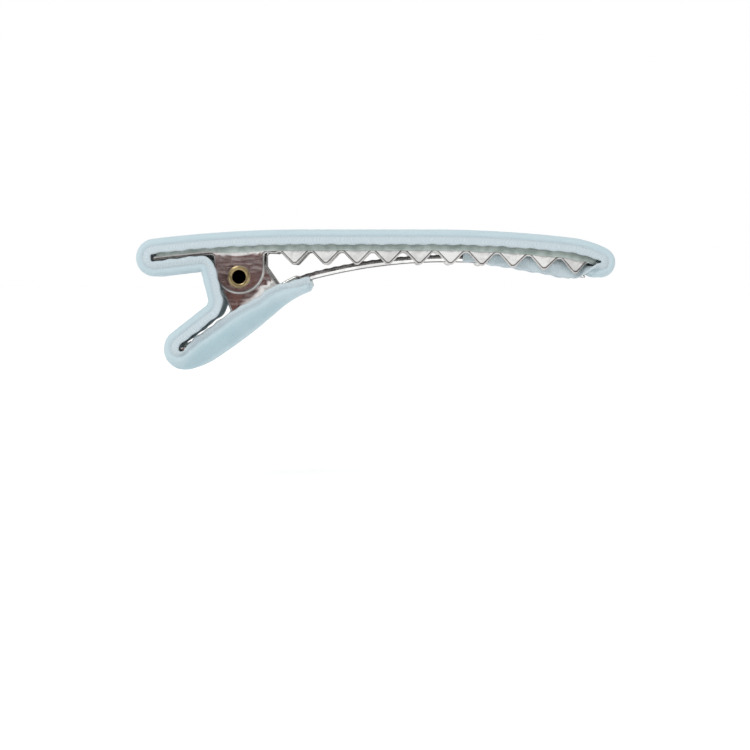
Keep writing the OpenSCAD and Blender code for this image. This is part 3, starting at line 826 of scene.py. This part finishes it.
# Lower jaw: its wall's top edge runs from the curled end over the ear to the tongue's tip
ear_back = step_at(HEEL_END, LEVER_STEP, 1 - EAR_FOOT_L / LEVER_L)
ear_front = step_at(KNEE_START, KNEE_STEP, EAR_TOE_L / KNEE_L)
hinge_at = Vector((HINGE.x, HINGE.z))
lower_outline = []
curl_path = walk(CURL_START, [CURL_STEP], 0.25)
curl_top = off(LEVER_START, WALL_H)
CURL_EDGE_H, CURL_EDGE_DIR, CURL_EDGE_TURN = 0.42, -60, 68
for k, p in enumerate(curl_path):
    f = k / (len(curl_path) - 1)
    tip = off(p, CURL_EDGE_H).lerp(curl_top, smooth(f))
    lower_outline.append((tip, left_of(CURL_EDGE_DIR + CURL_EDGE_TURN * f), p))
to_ear = (LEVER_L - EAR_FOOT_L, LEVER_TURN * (1 - EAR_FOOT_L / LEVER_L))
lever_walk = walk(LEVER_START, [HEEL_STEP, to_ear], 0.3)
lower_outline += [(off(p, WALL_H), left_of(p[2]), p) for p in lever_walk[1:]]
ear_first = len(lower_outline)
EAR_BACK_AT, EAR_TOP_AT, EAR_SHOULDER_AT = 200, 75, 25
shoulder = hinge_at + EAR_REACH * along(EAR_SHOULDER_AT)
ear_line = straight_points(off(ear_back, WALL_H), hinge_at + LOWER_EAR_R * along(EAR_BACK_AT))[1:-1]
ear_line += arc_points(hinge_at, LOWER_EAR_R, EAR_BACK_AT, EAR_TOP_AT - EAR_BACK_AT, 30)
ear_line += straight_points(hinge_at + LOWER_EAR_R * along(EAR_TOP_AT), shoulder)[1:-1]
ear_line += straight_points(shoulder, off(ear_front, KNEE_WALL_H))
for k, (p, n) in enumerate(ear_line):
    s = (EAR_FOOT_L + EAR_TOE_L) * (k + 1) / len(ear_line)
    if s <= EAR_FOOT_L:
        web = step_at(ear_back, (EAR_FOOT_L, LEVER_TURN * EAR_FOOT_L / LEVER_L), s / EAR_FOOT_L)
    else:
        web = step_at(KNEE_START, KNEE_STEP, (s - EAR_FOOT_L) / KNEE_L)
    lower_outline.append((p, n, web))
ear_last = len(lower_outline)
knee_rest = KNEE_L - EAR_TOE_L
knee_walk = walk(ear_front, [(knee_rest, -KNEE_TURN * knee_rest / KNEE_L), ARCH_STEP, TONGUE_END_STEP], 0.19)
KNEE_END = knee_walk[-1][3]
WIDE_REST = WIDE_KNEE_L - EAR_TOE_L
STEP_L = 0.45
LIP_PITCH, LIP_WAVE = 1.14, 0.035
TIP_L, TIP_LOWER = 0.8, 0.75
knee_first = len(lower_outline)
for p in knee_walk[1:]:
    s = p[3]
    h = mixed(KNEE_WALL_H, LIP_H, smooth((s - WIDE_REST) / STEP_L))
    h *= 1 - TIP_LOWER * smooth((s - KNEE_END + TIP_L) / TIP_L)
    h += LIP_WAVE * math.cos(2 * math.pi * s / LIP_PITCH) * smooth(s - WIDE_REST - STEP_L)
    lower_outline.append((off(p, h), left_of(p[2]), p))


FOOT_OUT, FOOT_H, FOOT_BEND = 0.12, 1.75, 0.45


def foot_lean(k, p):
    """The wall's foot under the ear leans out to a round bead beside the ribbon."""
    along_ear = smooth((k - ear_first) / 6) * smooth((ear_last - k) / 6)
    web = Vector(lower_outline[k][2][:2])
    return FOOT_OUT * along_ear * smooth((FOOT_H - (p - web).length) / FOOT_BEND)


LOWER_BEND_R, TONGUE_BEND_R, BEND_SHARE = 0.75, 0.42, 0.6
TAPER_L, TAPER = 1.2, 0.5


def lower_half(k, entry):
    tip, normal, web = entry
    narrow = taper = 0.0
    if k >= knee_first:
        narrow = smooth((web[3] - WIDE_REST) / STEP_L)
        taper = TAPER * smooth((web[3] - KNEE_END + TAPER_L) / TAPER_L) ** 2
    half_w = mixed(LOWER_W, TONGUE_W, narrow) / 2 - taper
    foot = Vector(web[:2])
    bend = min(mixed(LOWER_BEND_R, TONGUE_BEND_R, narrow), BEND_SHARE * (tip - foot).length)
    return channel_half(foot, -left_of(web[2]), half_w, bend, tip, normal, lambda p: foot_lean(k, p))


tongue_first = knee_first + sum(p[3] < WIDE_REST + STEP_L for p in knee_walk[1:])
# Every sixth ring of the tongue's wall takes a painted glint.
PAINTED_GLINT_EVERY = 6


def lower_part(i, step):
    """The tongue has a dark foot and a dark edge of painted shade and dark reflection, with a row of painted
    glints along its lip.
    """
    if i < tongue_first:
        return rim_part(i, step)
    # Spots of the cut edge's metal stand in as painted glints on the tongue's wall; its foot and edge take
    # the painted dark shade.
    if step in PAINTED_GLINT_STEPS and i % PAINTED_GLINT_EVERY == 0:
        return CUT
    return PAINTED_DARK if step in (*PAINTED_SHADE_FOOT_STEPS, PAINTED_DARK_STEP, *EDGE_STEPS) else PLATING


halves = [lower_half(k, entry) for k, entry in enumerate(lower_outline)]
lower_jaw = loft("nickel_lower_jaw", halves, "lever", METALS, lower_part)
bored(lower_jaw, RIVET_R + 0.05)
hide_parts("lower_jaw")


# ---------------------------------------------------------------- rivet and spring
def lathe(name, profile, body, materials, dark_steps, segments=96):
    """A profile of (r, y) points turned about the hinge axis; its first steps take the second material."""
    verts, faces, m = [], [], len(profile)
    for i in range(segments):
        a = 2 * math.pi * i / segments
        verts += [(HINGE.x + r * math.cos(a), y, HINGE.z + r * math.sin(a)) for r, y in profile]
    for i in range(segments):
        for k in range(m - 1):
            a, b = i * m + k, ((i + 1) % segments) * m + k
            faces.append((a, a + 1, b + 1, b))
    slots = [1 if k < dark_steps else 0 for _ in range(segments) for k in range(m - 1)]
    piece = new_piece(name, verts, faces, body, materials, slots)
    bm = bmesh.new()
    bm.from_mesh(piece.data)
    bmesh.ops.remove_doubles(bm, verts=bm.verts, dist=1e-6)
    bmesh.ops.recalc_face_normals(bm, faces=bm.faces)
    bm.to_mesh(piece.data)
    bm.free()
    sharpen(piece, 40)
    return piece


HEAD_H, HEAD_CUTS, RIM_CUTS, BORE_STEPS = 0.55, 8, 12, 3
near_y, far_y = rivet_low.y + RIM_H, rivet_high.y - HEAD_H
bead_r = (RIM_R - BORE_R) / 2
floor_y = far_y - BORE_FLOOR
profile = [(0.0, floor_y), (BORE_R * 0.9, floor_y), (BORE_R, floor_y - 0.1), (BORE_R, near_y + 0.3)]
for k in range(RIM_CUTS + 1):
    a = math.radians(180 * (1 - k / RIM_CUTS))
    profile.append((BORE_R + bead_r + bead_r * math.cos(a), near_y - RIM_H + bead_r - bead_r * math.sin(a)))
profile += [(RIM_R, near_y - 0.06), (RIM_R - 0.05, near_y), (RIVET_R, near_y), (RIVET_R, far_y),
            (HEAD_R - 0.04, far_y), (HEAD_R, far_y + 0.05)]
cap_r = (HEAD_R * HEAD_R + HEAD_H * HEAD_H) / (2 * HEAD_H)
for k in range(1, HEAD_CUTS + 1):
    r = HEAD_R * (1 - k / HEAD_CUTS)
    profile.append((r, far_y + HEAD_H - cap_r + math.sqrt(cap_r * cap_r - r * r)))
# The bore's floor and walls take the near-black material: painted shade in the hole.
rivet = lathe("brass_hinge_rivet", profile, "clip_body", [brass, bore_shade], BORE_STEPS)
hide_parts("hinge_rivet")

# The spring: a leg on the lever, the coil round the rivet and a leg under the tail
COIL_R = RIVET_R + COIL_GAP + WIRE_D / 2
COIL_SPACING, COIL_CUT, LEG_CUTS, WIRE_SIDES, WIRE_END = 1.06, 9, 12, 14, 0.8
leg_off = SHEET_T + LEG_GAP + WIRE_D / 2
tail_leg = Vector((HINGE.x - TAIL_LEG_REACH, plate_at(HINGE.x - TAIL_LEG_REACH) - leg_off))
lever_leg = off(step_at(HEEL_END, LEVER_STEP, LEVER_LEG_FOOT / LEVER_L), leg_off)


def bearing(v):
    return math.degrees(math.atan2(v.y, v.x)) % 360


tail_d, lever_d = tail_leg - hinge_at, lever_leg - hinge_at
tail_leg_at = bearing(tail_d) - math.degrees(math.acos(COIL_R / tail_d.length))
lever_leg_at = bearing(lever_d) + math.degrees(math.acos(COIL_R / lever_d.length))
coil_turn = COIL_TURNS * 360 + tail_leg_at + 360 - lever_leg_at
coil_w = coil_turn / 360 * WIRE_D * COIL_SPACING
coil_cuts = math.ceil(coil_turn / COIL_CUT)
coil_first = hinge_at + COIL_R * along(lever_leg_at)
coil_last = hinge_at + COIL_R * along(lever_leg_at + coil_turn)
wire = [(lever_leg.lerp(coil_first, k / LEG_CUTS), -0.5) for k in range(LEG_CUTS)]
wire += [(hinge_at + COIL_R * along(lever_leg_at + coil_turn * k / coil_cuts), k / coil_cuts - 0.5)
         for k in range(coil_cuts + 1)]
wire += [(coil_last.lerp(tail_leg, k / LEG_CUTS), 0.5) for k in range(1, LEG_CUTS + 1)]
line = [Vector((p.x, coil_w * share, p.y)) for p, share in wire]
verts, faces = [], []
for i, p in enumerate(line):
    tangent = (line[min(i + 1, len(line) - 1)] - line[max(i - 1, 0)]).normalized()
    u = tangent.cross(Vector((0, 1, 0))).normalized()
    v = tangent.cross(u)
    r = WIRE_D / 2 * (WIRE_END if i in (0, len(line) - 1) else 1.0)
    for k in range(WIRE_SIDES):
        a = 2 * math.pi * k / WIRE_SIDES
        verts.append(p + (u * math.cos(a) + v * math.sin(a)) * r)
for i in range(len(line) - 1):
    for k in range(WIRE_SIDES):
        a, b = i * WIRE_SIDES + k, i * WIRE_SIDES + (k + 1) % WIRE_SIDES
        faces.append((a, a + WIRE_SIDES, b + WIRE_SIDES, b))
last = (len(line) - 1) * WIRE_SIDES
faces += [tuple(range(WIRE_SIDES)), tuple(range(last, last + WIRE_SIDES))[::-1]]
spring = new_piece("steel_torsion_spring", verts, faces, None, [steel])
outwards(spring)
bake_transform(spring)
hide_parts("torsion_spring")


# ---------------------------------------------------------------- glue films, their grey-green reach down the walls painted shade
FILM_OUT, FILM_IN = 0.04, -0.05  # its two sides, off the metal's surface


def film(name, entries, out_y, bend_r, body, lean=lambda p: 0.0):
    """A skin of glue over a channel's outside, reaching down its walls as painted shade and reflection under
    the ribbon: entries are (web, its normal, how far down it reaches).
    """
    halves = []
    for at, normal, depth in entries:
        sides = []
        for d in (FILM_OUT, FILM_IN):
            web, centre, r = at + normal * d, at - normal * bend_r, bend_r + d
            side = [(web, 0.0), (web, out_y * 0.6), (web, out_y - bend_r)]
            for k in (1, 2, 3, 4):
                a = math.radians(BEND_TURN * k)
                side.append((centre + normal * r * math.cos(a), out_y - bend_r + r * math.sin(a)))
            for f in (0.4, 0.75, 1.0):
                p = at - normal * mixed(bend_r, depth, f)
                side.append((p, out_y + d + lean(p)))
            sides.append(side)
        halves.append([(p.x, y, p.y) for p, y in sides[0] + sides[1][::-1]])
    return loft(name, halves, body, [glue_and_shade])


# The top film reaches down the flanges to the depth of the shaded band under the ribbon's edge: painted
# shade.
TOP_FILM_CUTS, TAIL_FILM_H, TOP_FILM_H, BEAK_FILM_L = 180, 0.95, 1.34, 2.5
entries = []
for k in range(TOP_FILM_CUTS + 1):
    x = mixed(tail[0] + 0.25, beak_end - 0.3, k / TOP_FILM_CUTS)
    depth = mixed(TAIL_FILM_H, TOP_FILM_H, smooth((x - HINGE.x + 4) / 3))
    depth += 0.07 * noise.noise(Vector((x * 0.9, 3.1, 0)))
    depth = mixed(depth, BEAK_EDGE_H, smooth((x - beak_end + BEAK_FILM_L) / BEAK_FILM_L))
    entries.append((*top_at(x), depth))
glue_top = film("adhesive_film_and_shade_top", entries, UPPER_W / 2, UPPER_BEND_R, "clip_body", upper_lean)
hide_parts("glue_top")

# The lever's film climbs its walls to colour the shaded wedge between the ribbon's layers: painted shade.
LEVER_FILM_H, KNEE_FILM_H = 1.95, 0.9
entries = []
for p in walk(LEVER_START, [HEEL_STEP, LEVER_STEP, KNEE_STEP], 0.3)[:-7]:
    depth = mixed(LEVER_FILM_H, KNEE_FILM_H, smooth((p[3] - 6.5) / 2.5))
    depth += 0.08 * noise.noise(Vector((p[3] * 0.8, 7.7, 0)))
    entries.append((Vector(p[:2]), -left_of(p[2]), depth))
glue_lever = film("adhesive_film_and_shade_lever", entries, LOWER_W / 2, LOWER_BEND_R, "lever")
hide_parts("glue_lever")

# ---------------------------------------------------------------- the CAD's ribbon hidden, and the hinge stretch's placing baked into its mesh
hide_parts("ribbon_top")
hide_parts("ribbon_hinge")
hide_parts("ribbon_lever")
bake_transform(ribbon_hinge)

# ---------------------------------------------------------------- floor, light and camera
# Metres from here on. The floor lies just under the tongue's tip at the hinge's limit.
bpy.context.view_layer.update()
hinge = frame["joints"][0]
hinge_m = Vector(hinge["pos_m"])
open_by = Matrix.Rotation(math.radians(hinge["range_deg"][1]), 3, hinge["axis"])
FLOOR_Z = min((open_by @ (v.co - hinge_m) + hinge_m).z for v in lower_jaw.data.vertices) - 0.0005


def staged(name, bm, m):
    """A mesh of the studio's own, with the material that m makes."""
    mesh = bpy.data.meshes.new(name)
    bm.to_mesh(mesh)
    bm.free()
    mesh.materials.append(m.material)
    piece = bpy.data.objects.new(name, mesh)
    bpy.context.scene.collection.objects.link(piece)
    return piece


def mirrored_only(name, bm, colour):
    """A glowing board that only reflections see."""
    m = Nodes(name, Base_Color=(0, 0, 0, 1), Roughness=1.0, Emission_Color=colour, Emission_Strength=1.0)
    m.shader.inputs["Specular IOR Level"].default_value = 0.0
    board = staged(name, bm, m)
    for seen in ("visible_camera", "visible_diffuse", "visible_shadow", "visible_transmission"):
        setattr(board, seen, False)
    return board


def card(name, centre, size, colour):
    """An upright board that faces along Y."""
    bm = bmesh.new()
    bmesh.ops.create_grid(bm, x_segments=1, y_segments=1, size=0.5)
    bmesh.ops.scale(bm, verts=bm.verts, vec=(*size, 1))
    board = mirrored_only(name, bm, colour)
    board.location, board.rotation_euler = centre, (math.pi / 2, 0, 0)


def surround(name, radius, height, colour):
    """A round wall about the object, from the floor up."""
    bm = bmesh.new()
    bmesh.ops.create_cone(bm, cap_ends=False, segments=48, radius1=radius, radius2=radius, depth=height)
    mirrored_only(name, bm, colour).location.z = FLOOR_Z + height / 2


FLOOR_SIZE = 6.0
bm = bmesh.new()
bmesh.ops.create_grid(bm, x_segments=2, y_segments=2, size=FLOOR_SIZE)
pale = Nodes("pale_floor", Base_Color=(0.96, 0.96, 0.96, 1), Roughness=0.9, Emission_Color=(1, 1, 1, 1),
             Emission_Strength=0.09)
floor = staged("floor", bm, pale)
floor.location.z = FLOOR_Z

world = bpy.data.worlds.new("studio")
world.use_nodes = True
background = world.node_tree.nodes["Background"]
background.inputs["Color"].default_value = (1, 1, 1, 1)
background.inputs["Strength"].default_value = 1.0
bpy.context.scene.world = world
bpy.context.scene.view_settings.view_transform = "Standard"

# One soft light from above, on the near side and to the left
LIGHT_AT, LIT = Vector((-0.35, -0.45, 0.65)), Vector((0, 0, -0.008))
light = bpy.data.lights.new("key", "AREA")
light.size, light.energy = 0.35, 2.2
lamp = bpy.data.objects.new("key", light)
lamp.location = LIGHT_AT
lamp.rotation_euler = (LIT - LIGHT_AT).to_track_quat("-Z", "Y").to_euler()
bpy.context.scene.collection.objects.link(lamp)

# Boards that only reflections see: a grey wall all round, and close ones that the upright metal shows
surround("grey_surround", 0.65, 0.52, (0.52, 0.52, 0.52, 1))
CARD_Y, SHADE_Y = -0.12, -0.119
card("ear_card", (-0.0265, CARD_Y, -0.01435), (0.030, 0.0313), srgb("#80544c"))
card("band_card", (-0.0240, CARD_Y, 0.0088), (0.040, 0.0150), srgb("#f6f6f6"))
card("ear_shade_right", (-0.0210, SHADE_Y, -0.0040), (0.0070, 0.0042), srgb("#2c2026"))
card("ear_shade_left", (-0.0283, SHADE_Y, -0.0105), (0.0062, 0.0170), srgb("#1c1416"))
card("lower_shade", (-0.0150, SHADE_Y, -0.0130), (0.0080, 0.0100), srgb("#453439"))
card("lip_card", (0.012, CARD_Y, -0.0052), (0.051, 0.0100), srgb("#1c1b1c"))

# The photograph's eye: level, in front of the near side
EYE_D, EYE_X, EYE_Z, SENSOR, FIELD = 0.230, 0.00097, -0.0062, 36.0, 0.0905
camera_data = bpy.data.cameras.new("camera")
camera_data.sensor_width = SENSOR
camera_data.lens = SENSOR * EYE_D / FIELD
camera_data.shift_y = -0.126
camera_data.clip_start, camera_data.clip_end = 0.01, 50
camera = bpy.data.objects.new("camera", camera_data)
camera.location = (EYE_X, cad_box[0][1] - EYE_D, EYE_Z)
camera.rotation_euler = (math.pi / 2, 0, 0)
bpy.context.scene.collection.objects.link(camera)
bpy.context.scene.camera = camera

bpy.context.view_layer.update()
